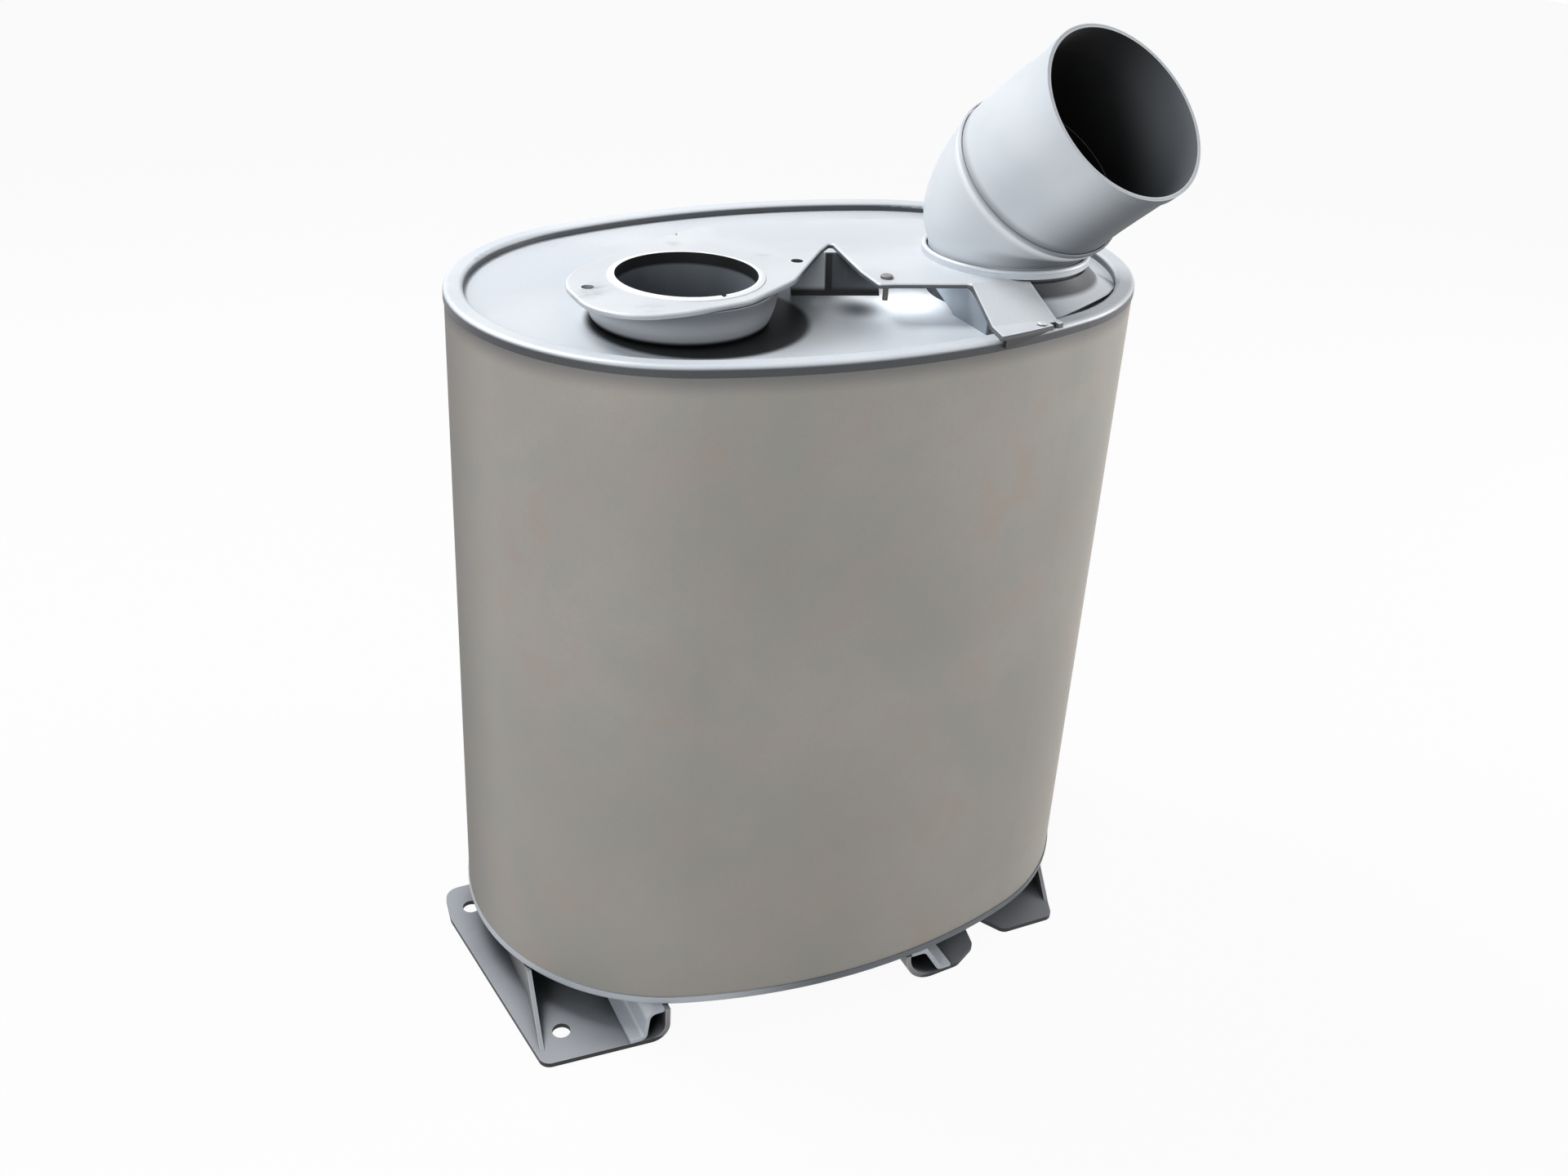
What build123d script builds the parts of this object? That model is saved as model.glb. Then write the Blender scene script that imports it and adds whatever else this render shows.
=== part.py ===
from build123d import *
from math import atan2, cos, degrees, radians, sin
import os

os.makedirs("parts", exist_ok=True)

# An upright oval silencer. Millimetres, +Z up, +X along the oval's long axis.
# The origin is at the oval's centre, on the underside of the feet.

# Oval body
body_half_length = 265.0
body_half_depth = 183.4
end_flattening = 14.7
body_height = 529.0
body_bottom = 30.0
shell_wall = 1.5
lap_width = 16.0
lap_place = 19.0
fit_gap = 0.25

# Rolled rims and recessed end plates
rim_width = 14.5
rim_height = 8.0
rim_proud = 0.8
rim_rounding = 3.5
end_plate_recess = 7.0
end_plate_thickness = 2.0

# Places of the inlet and the outlet on the body
inlet_from_centre = 112.4
inlet_from_front = 134.0
outlet_from_end = 133.0
outlet_from_front = 111.4

# Stamped top plate that stands off the upper end plate
stand_off = 21.0
sheet = 3.5
plate_edge_rounding = 1.8
flap_bend_reach = 53.0
flap_foot_inset = 19.4
lip_overhang = 3.2
lip_drop = 6.0
lip_drop_width = 38.0
lip_margin = 10.0
plate_outlet_margin = 1.5
small_hole_radius = 4.5
small_hole_places = [(-72.6, -2.6), (88.4, 7.4), (27.4, 94.4)]
notch_width = 5.0
notch_depth = 7.0
notch_from_outlet = 23.0
gusset_from_outlet = 64.0
gusset_sheet = 2.5
gusset_back_reach = 53.0
gusset_front_gap = 12.0
gusset_heel = 13.0
gusset_heel_lean = 8.0
gusset_foot_reach = 40.0
web_from_outlet = (-125.0, 26.0)
web_length = 65.0
web_sheet = 3.0
web_turn = -18.0
web_lean = 23.0

# Plan of the top plate: x and y from the outlet's or the inlet's centre, and the rounding there
plate_valley = [
    (-112.0, -37.0, 4.0),
    (-125.0, -34.0, 3.0),
    (-123.0, -5.0, 8.0),
    (-118.0, 25.0, 20.0),
    (-111.0, 64.0, 2.0),
    (-127.0, 49.0, 8.0),
    (-176.0, -8.0, 40.0),
]
plate_inlet_side = [
    (20.4, -61.1, 40.0),
    (-27.6, -69.1, 60.0),
    (-86.6, -67.6, 44.0),
    (-86.6, 23.4, 60.0),
    (-19.6, 71.4, 60.0),
    (50.4, 106.4, 12.0),
]
plate_outlet_side = [(-72.0, 117.0, 12.0), (0.0, 96.0, 12.0)]
flap_right_inset = 16.0
flap_left_reach = 62.0
flap_foot_reach = 68.0
flap_lip_reach = 75.0
flap_bend_rounding = 4.0
flap_foot_rounding = 3.0
flap_end_rounding = 1.0

# Inlet
inlet_bore_radius = 49.7
inlet_wall = 2.0
inlet_lip_radius = 54.5
inlet_lip_height = 1.4
inlet_depth = 330.0
inlet_nick_width = 4.0
inlet_nick_angle = -83.0
cup_offset = (-4.6, -0.6)
cup_top_radius = 67.5
cup_foot_radius = 61.5
cup_wall = 2.0
cup_bulge = 1.5

# Outlet elbow
outlet_tube_radius = 55.5
tube_wall = 2.0
outlet_depth = 445.0
bend_radius = 95.0
bend_angle = 49.0
bend_heading = -77.0
elbow_base_step = 1.5
elbow_belly_radius = 66.8
elbow_seam_radius = 66.3
elbow_seam_angle = 42.0
elbow_neck_angle = 4.0
elbow_swell = [(10, 4, 0.5), (15, 9, 0.82), (21, 17, 0.97), (28, 26, 1), (35, 35, 1)]
mouth_radius = 64.7
mouth_wall = 1.6
straight_length = 77.0
mouth_sleeve_length = 30.0
mouth_ring_length = 8.0
mouth_ring_wall = 1.1
seam_bead_height = 1.3
seam_bead_width = 4.0
base_bead_gap = 0.9
base_bead_width = 3.4
base_bead_height = 6.0
skirt_step = 4.5
skirt_foot_radius = 96.0
skirt_wall = 2.0
skirt_sag = 2.3
skirt_left_reach = 50.0

# Inner parts
mat_thickness = 6.0
liner_wall = 1.2
baffle_thickness = 1.5
baffle_flange = 14.0
baffle_heights = {"lower_baffle": 150.0, "middle_baffle": 290.0, "upper_baffle": 420.0}
crossover_radius = 35.0
crossover_wall = 1.5
long_crossover = (60.0, 85.0)
short_crossover = (-45.0, 85.0)
crossover_reach = 28.0
perforation_radius = 3.0
perforation_pitch = 14.0
perforation_count = 12

# Feet
foot_sheet = 4.0
foot_wall = 3.5
brace_sheet = 3.0
brace_length = 60.0
foot_hole_radius = 7.25
foot_margin = 25.0
left_brace_inset = 23.4
right_brace_inset = 3.4
left_leg_inset = 108.0
left_leg_rounding = 15.0
left_foot_rear_inset = 35.4
right_leg_inset = 224.0
right_leg_rounding = 28.5
right_foot_rear_inset = 33.4

# Plans of the feet: x and y from the body's left or right end and its front, or the foot's rear
left_foot_front = [(115.0, 20.9, 1.0), (7.5, 28.4, 9.0)]
left_foot_ear = [(-16.0, -121.0, 20.0), (-12.0, -85.0, 13.0), (23.0, -85.0, 12.0), (57.0, 0.0, 15.0), (115.0, 0.0, 1.0)]
left_wall_front = [(9.0, 41.4), (17.5, 100.4)]
left_wall_rear = (17.5, -88.0)
left_front_hole = (31.0, 56.4)
left_rear_hole = (4.0, -113.0)
right_foot_front = [
    (-235.0, 0.4, 1.0),
    (-171.0, 4.9, 14.0),
    (-148.0, 17.4, 10.0),
    (-141.0, 46.4, 5.0),
    (-126.0, 46.4, 5.0),
    (-113.0, 23.9, 8.0),
    (-64.0, 23.4, 9.0),
    (-55.0, 43.4, 14.0),
    (-39.0, 88.4, 30.0),
    (-33.0, 123.4, 40.0),
]
right_foot_back = [(-33.0, -50.0, 30.0), (-60.0, 0.0, 30.0), (-235.0, 0.0, 1.0)]
right_wall_front = [(-57.0, 37.4), (-40.5, 88.4), (-35.0, 123.4)]
right_wall_rear = (-35.0, -58.0)
right_front_hole = (-90.0, 88.4)
right_rear_hole = (-90.0, -55.0)

# Fasteners on the top plate
screw_from_outlet = (-113.0, -24.0)
screw_head_radius = 4.4
screw_head_height = 2.4
screw_radius = 2.0
screw_length = 16.0
nut_across_flats = 7.0
nut_height = 3.2
rivet_from_outlet = 33.0
rivet_inset = 11.9
rivet_radius = 3.2
rivet_height = 1.8

# Levels, places and radii that follow
end_radius = body_half_depth - end_flattening
front_y = -body_half_depth
inlet_x = -inlet_from_centre
inlet_y = front_y + inlet_from_front
outlet_x = body_half_length - outlet_from_end
outlet_y = front_y + outlet_from_front
cup_x = inlet_x + cup_offset[0]
cup_y = inlet_y + cup_offset[1]
flap_bend_y = outlet_y - flap_bend_reach
flap_foot_y = front_y + flap_foot_inset
flap_right_x = outlet_x - flap_right_inset
gusset_x = outlet_x - gusset_from_outlet
screw_x = outlet_x + screw_from_outlet[0]
screw_y = outlet_y + screw_from_outlet[1]
rivet_x = outlet_x - rivet_from_outlet
rivet_y = front_y + rivet_inset
elbow_base_radius = outlet_tube_radius + elbow_base_step
skirt_top_radius = outlet_tube_radius + skirt_step
left_foot_rear = body_half_depth - left_foot_rear_inset
right_foot_rear = body_half_depth - right_foot_rear_inset
left_leg_x = left_leg_inset - body_half_length
right_leg_x = body_half_length - right_leg_inset
body_top = body_bottom + body_height
upper_floor = body_top - end_plate_recess
lower_ceiling = body_bottom + end_plate_recess
plate_top = body_top + stand_off
plate_under = plate_top - sheet
rim_inner_grow = rim_proud - rim_width
inlet_outer_radius = inlet_bore_radius + inlet_wall
liner_grow = -(shell_wall + mat_thickness + 2 * fit_gap)
baffle_grow = liner_grow - liner_wall - fit_gap
inner_floor = lower_ceiling + end_plate_thickness
inner_ceiling = upper_floor - end_plate_thickness
outlet_bottom = plate_top - outlet_depth
inlet_bottom = plate_top - inlet_depth
lip_end_y = -body_half_depth - lip_overhang
flap_slope = (stand_off - sheet) / (flap_bend_y - flap_foot_y)
flap_inset = sheet * flap_slope / 2


def save(part, name):
    """Name a finished piece and write it."""
    part.label = name
    export_step(part, f"parts/{name}.step")


def oval(grow):
    """The body's four-arc outline as a face, grown outwards by a distance."""
    end_centre = body_half_length - end_radius
    rise = body_half_depth - end_radius
    side_centre = (end_centre**2 - rise**2) / (2 * rise)
    side_radius = body_half_depth + side_centre
    turn = degrees(atan2(side_centre, end_centre))
    with BuildSketch() as outline:
        with BuildLine():
            CenterArc((end_centre, 0), end_radius + grow, -turn, 2 * turn)
            CenterArc((0, -side_centre), side_radius + grow, turn, 180 - 2 * turn)
            CenterArc((-end_centre, 0), end_radius + grow, 180 - turn, 2 * turn)
            CenterArc((0, side_centre), side_radius + grow, 180 + turn, 180 - 2 * turn)
        make_face()
    return outline.sketch


def oval_band(outer_grow, inner_grow, bottom, top):
    """A wall that follows the oval between two offsets and two heights."""
    with BuildPart() as band:
        with BuildSketch(Plane.XY.offset(bottom)):
            add(oval(outer_grow))
            add(oval(inner_grow), mode=Mode.SUBTRACT)
        extrude(amount=top - bottom)
    return band.part


def upright(x, y):
    """A plane through a vertical axis, with the radius across and the height up."""
    return Plane(origin=(x, y, 0), x_dir=(1, 0, 0), z_dir=(0, -1, 0))


def places(points, x, y):
    """Plan points that are measured from a corner or a centre, as points of the body's plan."""
    return [(x + point[0], y + point[1]) for point in points]


def roundings(points):
    return [point[2] for point in points]


def vertical(x, y):
    return Axis((x, y, 0), (0, 0, 1))


def spun_tube(x, y, outer, inner, bottom, top):
    """A plain upright tube."""
    with BuildPart() as tube:
        with BuildSketch(Plane.XY.offset(bottom)):
            with Locations((x, y)):
                Circle(outer)
                Circle(inner, mode=Mode.SUBTRACT)
        extrude(amount=top - bottom)
    return tube.part


def perforations(x, y, reach, bottom, rows):
    """Rows of drill bodies that point outwards from a tube's axis."""
    drills = []
    for row in range(rows):
        with BuildPart() as drill_row:
            ring = Plane.XY.offset(bottom + row * perforation_pitch)
            turn = 180 / perforation_count * (row % 2)
            with Locations(ring.location):
                with Locations((x, y, 0)):
                    with PolarLocations(0, perforation_count, start_angle=turn):
                        Cylinder(
                            perforation_radius,
                            reach,
                            rotation=(0, 90, 0),
                            align=(Align.CENTER, Align.CENTER, Align.MIN),
                        )
        drills.append(drill_row.part)
    return drills


# Outer shell: one wrapped sheet between the rims, lapped at the back
with BuildPart() as outer_shell:
    shell_bottom = body_bottom + rim_height
    shell_top = body_top - rim_height
    add(oval_band(0, -shell_wall, shell_bottom, shell_top))
    with BuildSketch(Plane.XY.offset(shell_bottom)):
        add(oval(rim_proud))
        add(oval(0), mode=Mode.SUBTRACT)
        with Locations((lap_place, body_half_depth)):
            Rectangle(lap_width, 4 * lap_width, mode=Mode.INTERSECT)
    extrude(amount=shell_top - shell_bottom)
save(outer_shell.part, "outer_shell")


def end_plate(face, holes):
    """Recessed plate with its rolled rim; the face plane looks out of the body."""
    with BuildPart() as plate:
        with BuildSketch(face.offset(-rim_height)):
            add(oval(rim_proud))
            add(oval(rim_inner_grow), mode=Mode.SUBTRACT)
        extrude(amount=rim_height)
        rim_edges = plate.faces().sort_by(Axis(face.origin, face.z_dir))[-1].edges()
        fillet(rim_edges, rim_rounding)
        with BuildSketch(face.offset(-end_plate_recess - end_plate_thickness)):
            add(oval(-shell_wall - fit_gap))
        extrude(amount=end_plate_thickness)
        for x, y, radius in holes:
            with BuildSketch(face):
                with Locations((x, y)):
                    Circle(radius + fit_gap)
            extrude(amount=-2 * rim_height, mode=Mode.SUBTRACT)
    return plate.part


pipe_holes = [
    (inlet_x, inlet_y, inlet_outer_radius),
    (outlet_x, outlet_y, outlet_tube_radius),
]
top_face = Plane.XY.offset(body_top)
bottom_face = Plane(origin=(0, 0, body_bottom), x_dir=(1, 0, 0), z_dir=(0, 0, -1))
save(end_plate(top_face, pipe_holes), "top_end_plate")
save(end_plate(bottom_face, []), "bottom_end_plate")


# Insulation mat and inner liner stand between the two end plates
save(oval_band(-shell_wall - fit_gap, liner_grow + fit_gap, inner_floor, inner_ceiling), "insulation_mat")
save(oval_band(liner_grow, liner_grow - liner_wall, inner_floor, inner_ceiling), "inner_liner")


def turned_lip():
    """The part of the lip that turns down over the rim, deepest at its left corner."""
    left_x = outlet_x - flap_foot_reach
    with BuildPart() as lip:
        add(oval_band(lip_overhang, rim_proud + fit_gap, body_top - lip_drop, body_top + sheet / 2))
        with BuildSketch(Plane.XZ.offset(body_half_depth / 2)):
            with BuildLine():
                Polyline(
                    (left_x, body_top + sheet),
                    (left_x + lip_drop_width, body_top + sheet),
                    (left_x + lip_drop_width, body_top),
                    (left_x, body_top - lip_drop),
                    close=True,
                )
            make_face()
        extrude(amount=body_half_depth, mode=Mode.INTERSECT)
    return lip.part


# Top plate: a flat sheet that steps down onto the front rim
with BuildPart() as top_plate:
    with BuildSketch(Plane.YZ.offset(-body_half_length)):
        with BuildLine():
            Polyline(
                (body_half_depth, plate_under),
                (body_half_depth, plate_top),
                (flap_bend_y, plate_top),
                (flap_foot_y, body_top + sheet),
                (lip_end_y, body_top + sheet),
                (lip_end_y, body_top),
                (flap_foot_y + flap_inset, body_top),
                (flap_bend_y + flap_inset, plate_under),
                close=True,
            )
        make_face()
    extrude(amount=2 * body_half_length)
    flap_points = [
        (outlet_x - flap_lip_reach, lip_end_y - lip_margin),
        (outlet_x - flap_foot_reach, flap_foot_y),
        (outlet_x - flap_left_reach, flap_bend_y),
    ]
    plan_points = [
        *flap_points,
        *places(plate_valley, outlet_x, outlet_y),
        *places(plate_inlet_side, inlet_x, inlet_y),
        *places(plate_outlet_side, outlet_x, outlet_y),
        (outlet_x, lip_end_y - lip_margin),
    ]
    plan_roundings = [
        flap_end_rounding,
        flap_foot_rounding,
        flap_bend_rounding,
        *roundings(plate_valley + plate_inlet_side + plate_outlet_side),
        flap_end_rounding,
    ]
    with BuildSketch(Plane.XY.offset(body_top)):
        with BuildLine():
            FilletPolyline(*plan_points, radius=plan_roundings, close=True)
        make_face()
        with Locations((outlet_x, lip_end_y)):
            cut_depth = flap_bend_y + flap_inset + fit_gap - lip_end_y
            Rectangle(2 * flap_right_inset, 2 * cut_depth, mode=Mode.SUBTRACT)
    extrude(amount=stand_off, mode=Mode.INTERSECT)
    with BuildSketch(Plane.XY.offset(body_top)):
        add(oval(lip_overhang))
    extrude(amount=stand_off, mode=Mode.INTERSECT)
    with BuildSketch(Plane.XY.offset(plate_under)):
        with Locations((outlet_x, outlet_y)):
            Circle(outlet_tube_radius + plate_outlet_margin)
    extrude(amount=sheet)
    flat_top = top_plate.faces().filter_by(Axis.Z).sort_by(Axis.Z)[-1]
    free_edges = flat_top.edges().filter_by_position(Axis.X, -body_half_length, gusset_x)
    free_edges = free_edges.filter_by_position(Axis.Y, flap_bend_y + flap_bend_rounding, body_half_depth)
    fillet(free_edges, plate_edge_rounding)
    with BuildSketch(Plane.XY.offset(plate_top)):
        with Locations((inlet_x, inlet_y)):
            Circle(inlet_outer_radius + fit_gap)
        with Locations((outlet_x, outlet_y)):
            Circle(outlet_tube_radius + fit_gap)
        with Locations(*places(small_hole_places, inlet_x, inlet_y)):
            Circle(small_hole_radius)
        with Locations((screw_x, screw_y)):
            Circle(screw_radius + fit_gap)
    extrude(amount=-2 * sheet, mode=Mode.SUBTRACT)
    add(turned_lip())
    notch_x = outlet_x - notch_from_outlet
    with BuildSketch(Plane.XY.offset(body_top - lip_drop)):
        with Locations((notch_x, lip_end_y + lip_overhang + notch_depth)):
            Rectangle(notch_width, 2 * notch_depth)
    extrude(amount=lip_drop + sheet, mode=Mode.SUBTRACT)
save(top_plate.part, "top_plate")


# Inlet pipe: a thin lip lies on the top plate, and the lower end is perforated
inlet_axis = vertical(inlet_x, inlet_y)
with BuildPart() as inlet_pipe:
    with BuildSketch(upright(inlet_x, inlet_y)):
        with BuildLine():
            Polyline(
                (inlet_bore_radius, inlet_bottom),
                (inlet_outer_radius, inlet_bottom),
                (inlet_outer_radius, plate_top),
                (inlet_lip_radius, plate_top),
                (inlet_lip_radius, plate_top + inlet_lip_height / 2),
                (inlet_outer_radius + fit_gap, plate_top + inlet_lip_height),
                (inlet_bore_radius, plate_top + inlet_lip_height),
                close=True,
            )
        make_face()
    revolve(axis=inlet_axis)
    with BuildSketch(Plane.XY.offset(plate_top)):
        with Locations((inlet_x, inlet_y)):
            with PolarLocations(inlet_bore_radius, 1, start_angle=inlet_nick_angle):
                SlotOverall(2 * inlet_nick_width, inlet_nick_width)
    extrude(amount=inlet_lip_height, mode=Mode.SUBTRACT)
    first_row = baffle_heights["middle_baffle"] + perforation_pitch
    for drills in perforations(inlet_x, inlet_y, inlet_lip_radius, first_row, 8):
        add(drills, mode=Mode.SUBTRACT)
save(inlet_pipe.part, "inlet_pipe")

# Inlet cup: a spun bowl between the end plate and the top plate
with BuildPart() as inlet_cup:
    with BuildSketch(upright(cup_x, cup_y)):
        with BuildLine():
            middle = (cup_top_radius + cup_foot_radius) / 2 + cup_bulge
            bowl = ThreePointArc(
                (cup_foot_radius, upper_floor),
                (middle, (upper_floor + plate_under) / 2),
                (cup_top_radius, plate_under),
            )
            Line(bowl @ 1, (cup_top_radius - cup_wall, plate_under))
            inside = ThreePointArc(
                (cup_top_radius - cup_wall, plate_under),
                (middle - cup_wall, (upper_floor + plate_under) / 2),
                (cup_foot_radius - cup_wall, upper_floor),
            )
            Line(inside @ 1, bowl @ 0)
        make_face()
    revolve(axis=vertical(cup_x, cup_y))
save(inlet_cup.part, "inlet_cup")


def outlet_plane(turn_angle, beyond=0.0, tilt=None):
    """A plane across the outlet's centre line at an angle of its bend, or past the bend.

    It is square to the centre line unless a tilt of its own is given.
    """
    turn = radians(turn_angle)
    lean = turn if tilt is None else radians(tilt)
    heading = radians(bend_heading)
    out = Vector(cos(heading), sin(heading), 0)
    base = Vector(outlet_x, outlet_y, plate_top)
    along = out * sin(lean) + Vector(0, 0, cos(lean))
    centre = base + out * (bend_radius * (1 - cos(turn))) + Vector(0, 0, bend_radius * sin(turn))
    return Plane(origin=centre + along * beyond, x_dir=(-sin(heading), cos(heading), 0), z_dir=along)


def tube_through(sections, wall):
    """A thin tube lofted through round sections of the outlet's centre line."""
    with BuildPart() as tube:
        for plane, radius in sections:
            with BuildSketch(plane):
                Circle(radius)
        loft()
        for plane, radius in sections:
            with BuildSketch(plane):
                Circle(radius - wall)
        loft(mode=Mode.SUBTRACT)
    return tube.part


# Lower elbow: swells from the neck on the top plate to the mid seam
elbow_gain = elbow_belly_radius - elbow_base_radius
neck_top = (outlet_plane(elbow_neck_angle, tilt=0), elbow_base_radius)
lower_sections = [neck_top]
for angle, tilt, share in elbow_swell:
    lower_sections.append((outlet_plane(angle, tilt=tilt), elbow_base_radius + share * elbow_gain))
lower_sections.append((outlet_plane(elbow_seam_angle), elbow_seam_radius))
with BuildPart() as elbow_lower:
    add(tube_through([(outlet_plane(0), elbow_base_radius), neck_top], tube_wall))
    add(tube_through(lower_sections, tube_wall))
save(elbow_lower.part, "elbow_lower")

# Upper elbow: ends in a straight round sleeve at the mouth
with BuildPart() as elbow_upper:
    sleeve_start = straight_length - mouth_sleeve_length
    upper_sections = [
        (outlet_plane(elbow_seam_angle), elbow_seam_radius),
        (outlet_plane(bend_angle), (elbow_seam_radius + mouth_radius) / 2 + 0.3),
        (outlet_plane(bend_angle, sleeve_start), mouth_radius),
    ]
    add(tube_through(upper_sections, mouth_wall))
    with BuildSketch(outlet_plane(bend_angle, sleeve_start)):
        Circle(mouth_radius)
        Circle(mouth_radius - mouth_wall, mode=Mode.SUBTRACT)
    extrude(amount=mouth_sleeve_length)
save(elbow_upper.part, "elbow_upper")

# Mouth ring: a thin band around the open end
mouth_ring_inner = mouth_radius + fit_gap / 2
with BuildPart() as mouth_ring:
    with BuildSketch(outlet_plane(bend_angle, straight_length - mouth_ring_length)):
        Circle(mouth_ring_inner + mouth_ring_wall)
        Circle(mouth_ring_inner, mode=Mode.SUBTRACT)
    extrude(amount=mouth_ring_length)
save(mouth_ring.part, "mouth_ring")

# Seam bead around the elbow where its two pieces meet
seam_bead_inner = elbow_seam_radius + 2 * fit_gap
with BuildPart() as elbow_seam_bead:
    seam_plane = outlet_plane(elbow_seam_angle)
    with BuildSketch(Plane(origin=seam_plane.origin, x_dir=seam_plane.x_dir, z_dir=-seam_plane.y_dir)):
        with BuildLine():
            crown = ThreePointArc(
                (seam_bead_inner, -seam_bead_width / 2),
                (seam_bead_inner + seam_bead_height, 0),
                (seam_bead_inner, seam_bead_width / 2),
            )
            Line(crown @ 1, crown @ 0)
        make_face()
    revolve(axis=Axis(seam_plane.origin, seam_plane.z_dir))
save(elbow_seam_bead.part, "elbow_seam_bead")

# Base bead around the elbow's neck, on the top plate
base_bead_inner = elbow_base_radius + base_bead_gap
with BuildPart() as elbow_base_bead:
    with BuildSketch(upright(outlet_x, outlet_y)):
        with BuildLine():
            foot = Polyline(
                (base_bead_inner, plate_top + base_bead_height / 2),
                (base_bead_inner, plate_top),
                (base_bead_inner + base_bead_width, plate_top),
                (base_bead_inner + base_bead_width, plate_top + base_bead_height / 2),
            )
            ThreePointArc(
                foot @ 1,
                (base_bead_inner + base_bead_width / 2, plate_top + base_bead_height),
                foot @ 0,
            )
        make_face()
    revolve(axis=vertical(outlet_x, outlet_y))
save(elbow_base_bead.part, "elbow_base_bead")

# Outlet skirt: a drawn cone that falls from the elbow's foot to the end plate, right of the flap
with BuildPart() as outlet_skirt:
    skirt_drop = plate_under - upper_floor
    skirt_reach = skirt_foot_radius - skirt_top_radius
    skirt_run = skirt_wall * (skirt_drop**2 + skirt_reach**2) ** 0.5 / skirt_drop
    middle = (skirt_top_radius + skirt_reach / 2 - skirt_sag, upper_floor + skirt_drop / 2 - skirt_sag)
    with BuildSketch(upright(outlet_x, outlet_y)):
        with BuildLine():
            flare = ThreePointArc(
                (skirt_top_radius, plate_under),
                middle,
                (skirt_foot_radius, upper_floor),
            )
            Line(flare @ 1, (skirt_foot_radius - skirt_run, upper_floor))
            throat = ThreePointArc(
                (skirt_foot_radius - skirt_run, upper_floor),
                (middle[0] - skirt_run, middle[1]),
                (skirt_top_radius - skirt_run, plate_under),
            )
            Line(throat @ 1, flare @ 0)
        make_face()
    revolve(axis=vertical(outlet_x, outlet_y))
    with BuildSketch(Plane.XY.offset(upper_floor)):
        add(oval(rim_inner_grow - fit_gap))
        with Locations((outlet_x - skirt_left_reach - body_half_length, 0)):
            Rectangle(2 * body_half_length, 2 * body_half_depth, mode=Mode.SUBTRACT)
        with Locations((flap_right_x + fit_gap - body_half_length, outlet_y - body_half_depth)):
            Rectangle(2 * body_half_length, 2 * body_half_depth, mode=Mode.SUBTRACT)
    extrude(amount=skirt_drop, mode=Mode.INTERSECT)
save(outlet_skirt.part, "outlet_skirt")

# Outlet tube: runs from the elbow's neck down into the lowest chamber
with BuildPart() as outlet_tube:
    inner_radius = outlet_tube_radius - tube_wall
    add(spun_tube(outlet_x, outlet_y, outlet_tube_radius, inner_radius, outlet_bottom, plate_top))
    first_row = baffle_heights["upper_baffle"] + perforation_pitch
    for drills in perforations(outlet_x, outlet_y, outlet_tube_radius + 1, first_row, 6):
        add(drills, mode=Mode.SUBTRACT)
save(outlet_tube.part, "outlet_tube")

# Crossover tubes carry gas between chambers, past the baffles that they cross
short_bottom = baffle_heights["middle_baffle"] - crossover_reach
short_top = baffle_heights["upper_baffle"] + crossover_reach
long_bottom = baffle_heights["lower_baffle"] - crossover_reach
for name, (x, y), bottom in [
    ("short_crossover_tube", short_crossover, short_bottom),
    ("long_crossover_tube", long_crossover, long_bottom),
]:
    save(spun_tube(x, y, crossover_radius, crossover_radius - crossover_wall, bottom, short_top), name)

# Baffles: flanged oval plates with a hole for each tube that passes
tubes = [
    (inlet_x, inlet_y, inlet_outer_radius, inlet_bottom),
    (outlet_x, outlet_y, outlet_tube_radius, outlet_bottom),
    (*long_crossover, crossover_radius, long_bottom),
    (*short_crossover, crossover_radius, short_bottom),
]
for name, height in baffle_heights.items():
    with BuildPart() as baffle:
        with BuildSketch(Plane.XY.offset(height)):
            add(oval(baffle_grow))
            for x, y, radius, bottom in tubes:
                if bottom < height:
                    with Locations((x, y)):
                        Circle(radius + fit_gap, mode=Mode.SUBTRACT)
        extrude(amount=baffle_thickness)
        add(oval_band(baffle_grow, baffle_grow - baffle_thickness, height, height + baffle_flange))
    save(baffle.part, name)

# Flap gusset: an upright web that carries the flap from below
with BuildPart() as flap_gusset:
    gusset_back = flap_bend_y + gusset_back_reach
    gusset_front = flap_foot_y + gusset_front_gap
    front_height = plate_under - flap_slope * (flap_bend_y + flap_inset - gusset_front) - fit_gap
    with BuildSketch(Plane.YZ.offset(gusset_x)):
        with BuildLine():
            Polyline(
                (gusset_back, plate_under),
                (gusset_back - gusset_heel_lean, upper_floor + gusset_heel),
                (gusset_back - gusset_foot_reach, upper_floor),
                (gusset_front, upper_floor),
                (gusset_front, front_height),
                (flap_bend_y + flap_inset + fit_gap, plate_under),
                close=True,
            )
        make_face()
    extrude(amount=gusset_sheet)
save(flap_gusset.part, "flap_gusset")

# Plate web: a leaning strip between the end plate and the top plate, behind the valley
with BuildPart() as plate_web:
    web_foot = (outlet_x + web_from_outlet[0], outlet_y + web_from_outlet[1], upper_floor)
    along = Vector(cos(radians(web_turn)), sin(radians(web_turn)), 0)
    web_section = Plane(origin=web_foot, x_dir=(-along.Y, along.X, 0), z_dir=along)
    with BuildSketch(web_section):
        with BuildLine():
            Polyline(
                (0, 0),
                (web_sheet, 0),
                (web_sheet + web_lean, plate_under - upper_floor),
                (web_lean, plate_under - upper_floor),
                close=True,
            )
        make_face()
    extrude(amount=web_length / 2, both=True)
save(plate_web.part, "plate_web")

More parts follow.
